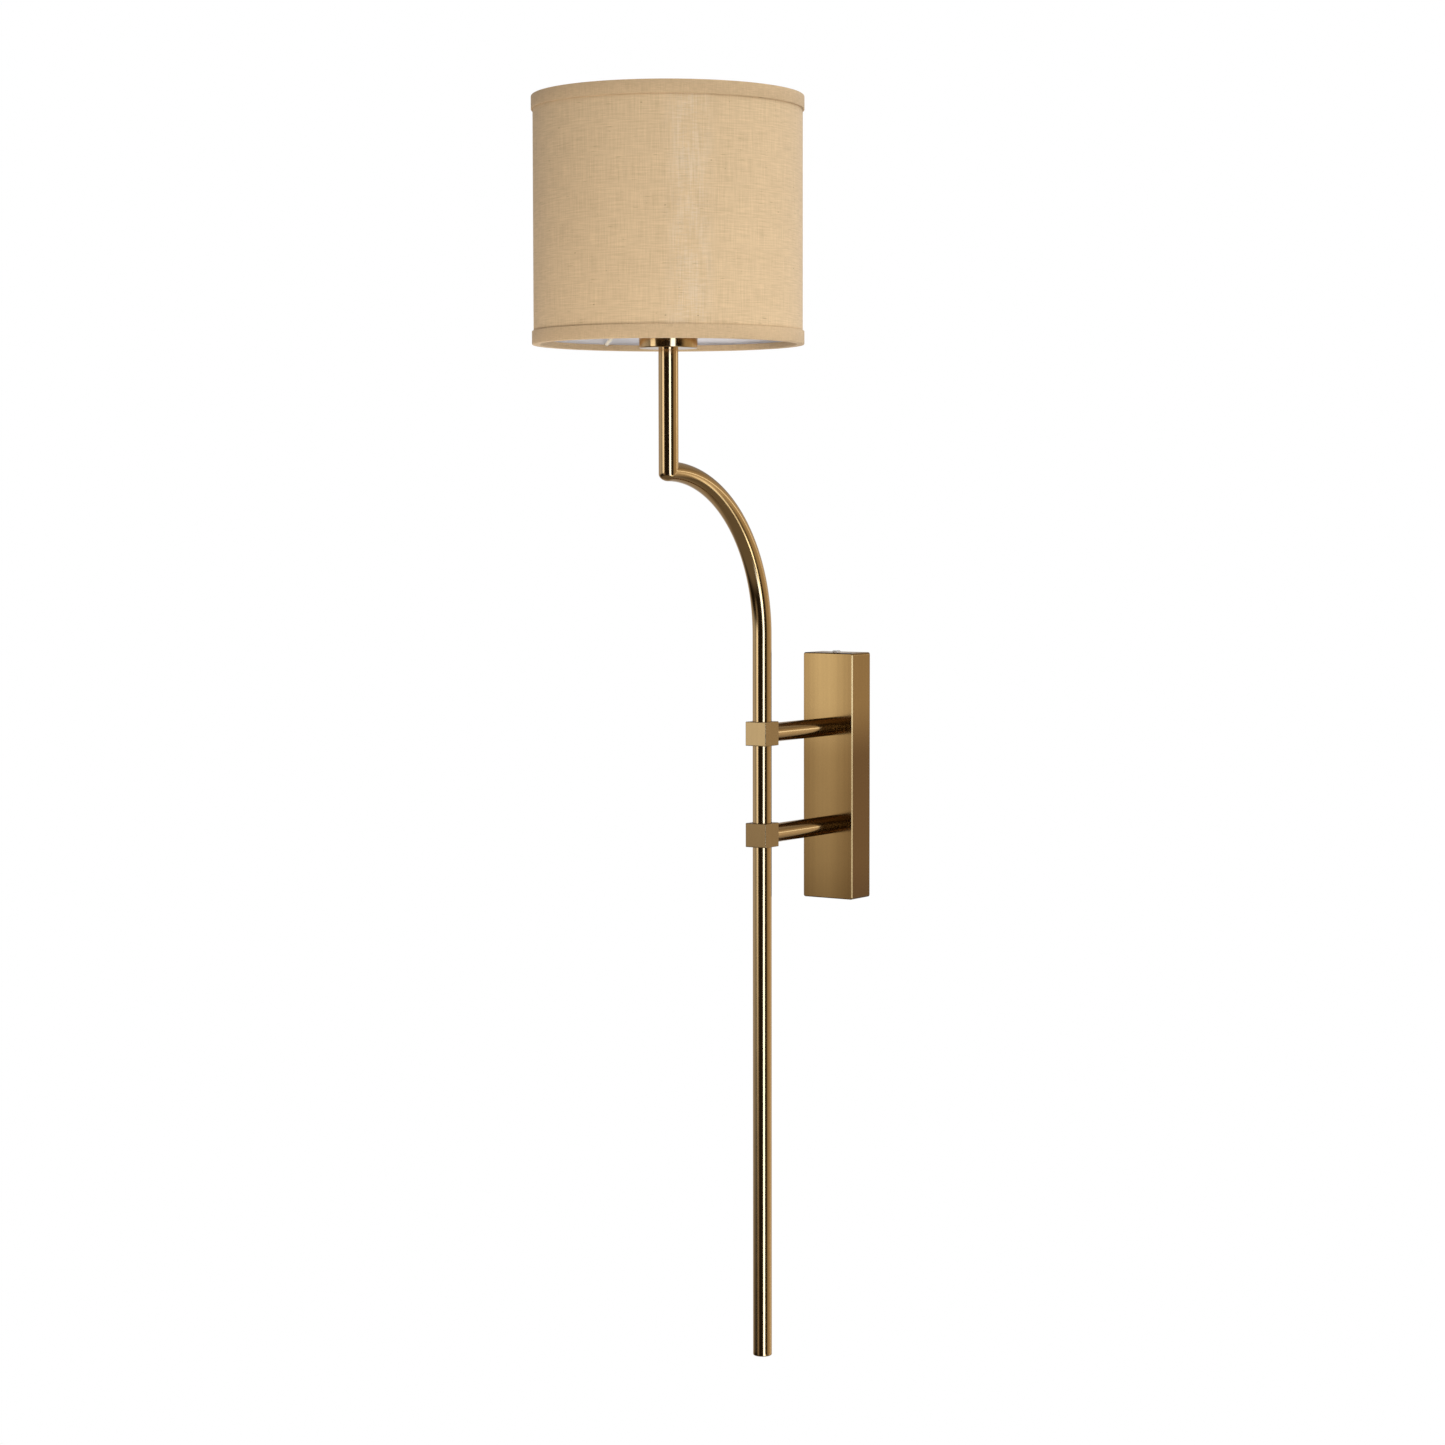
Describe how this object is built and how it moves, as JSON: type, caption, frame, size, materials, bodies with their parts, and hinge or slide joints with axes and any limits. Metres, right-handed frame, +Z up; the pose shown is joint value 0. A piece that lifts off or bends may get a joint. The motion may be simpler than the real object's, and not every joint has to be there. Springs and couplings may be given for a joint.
{
  "type": "swing arm wall sconce",
  "caption": "Wall lamp: a box backplate with fixed round arms and cube collars, in which a tall bent brass stem swings, carrying a linen drum shade over a screw lampholder.",
  "frame": {"origin": "middle of the backplate's back, on the wall, half way between the arms", "axes": "+Z up, +Y into the wall, -Y out to the room, +X to the right for someone facing the wall"},
  "size_m": [0.2037, 0.3523, 0.9788],
  "materials": {
    "antique_brass": "antique brass, satin brushed and lacquered",
    "fitting_brass": "plain turned brass",
    "zinc_steel": "zinc plated steel",
    "white_wire": "white powder coat",
    "green_screw": "green tinted plating",
    "white_plastic": "moulded nylon",
    "nylon": "natural nylon",
    "lead_sheath": "white sheathed flex",
    "black_phenolic": "moulded phenolic",
    "white_styrene": "white laminated styrene",
    "linen": "oatmeal linen with slubs",
    "linen_tape": "folded linen tape",
    "opal_cover": "opal diffuser",
    "bulb_housing": "white moulding",
    "nickel_cap": "nickel plate",
    "black_insulator": "black glass"
  },
  "bodies": {
    "wall_mount": {"backplate_cover": "antique_brass", "wall_bracket": "zinc_steel", "cover_screws": "zinc_steel", "earth_screw": "green_screw", "terminal_block": "white_plastic", "terminal_clamp_screws": "fitting_brass", "terminal_fixing_screws": "zinc_steel", "upper_arm": "antique_brass", "lower_arm": "antique_brass", "arm_inserts": "fitting_brass", "arm_nipples": "fitting_brass", "arm_washers": "zinc_steel", "arm_nuts": "fitting_brass", "upper_collar": "antique_brass", "lower_collar": "antique_brass", "upper_bush": "nylon", "lower_bush": "nylon", "stop_screw": "zinc_steel", "arm_lead": "lead_sheath"},
    "swing_stem": {"stem_tube": "antique_brass", "stem_end_plug": "antique_brass", "riser_tube": "antique_brass", "riser_insert": "fitting_brass", "holder_nipple": "fitting_brass", "holder_nut": "fitting_brass", "lamp_cup": "antique_brass", "lampholder_base": "black_phenolic", "lampholder_body": "black_phenolic", "lampholder_shell": "fitting_brass", "lampholder_contact": "fitting_brass", "shade_ring": "black_phenolic", "fitter_ring": "white_wire", "shade_spokes": "white_wire", "shade_bottom_wire": "white_wire", "shade_top_wire": "white_wire", "shade_liner": "white_styrene", "shade_linen": "linen", "shade_bottom_trim": "linen_tape", "shade_top_trim": "linen_tape", "stem_lead": "lead_sheath"},
    "bulb_tip": {"bulb_contact": "nickel_cap"},
    "bulb": {"bulb_insulator": "black_insulator", "bulb_screw_cap": "nickel_cap", "bulb_neck": "bulb_housing", "bulb_globe": "opal_cover"}
  },
  "joints": [
    {"name": "stem_swing", "type": "hinge", "parent": "wall_mount", "child": "swing_stem", "pos_m": [0, -0.12349, 0], "axis": [0, 0, 1], "range_deg": [-90, 90]},
    {"name": "bulb_rise", "type": "slide", "parent": "swing_stem", "child": "bulb_tip", "axis": [0, 0, 1], "range_m": [0, 0.01453]},
    {"name": "bulb_turn", "type": "hinge", "parent": "bulb_tip", "child": "bulb", "pos_m": [0, -0.25049, 0.39], "axis": [0, 0, 1], "range_deg": [0, 1440]}
  ],
  "couplings": [
    {"joint": "bulb_rise", "follows": "bulb_turn", "m_per_rad": 0.00057773}
  ]
}
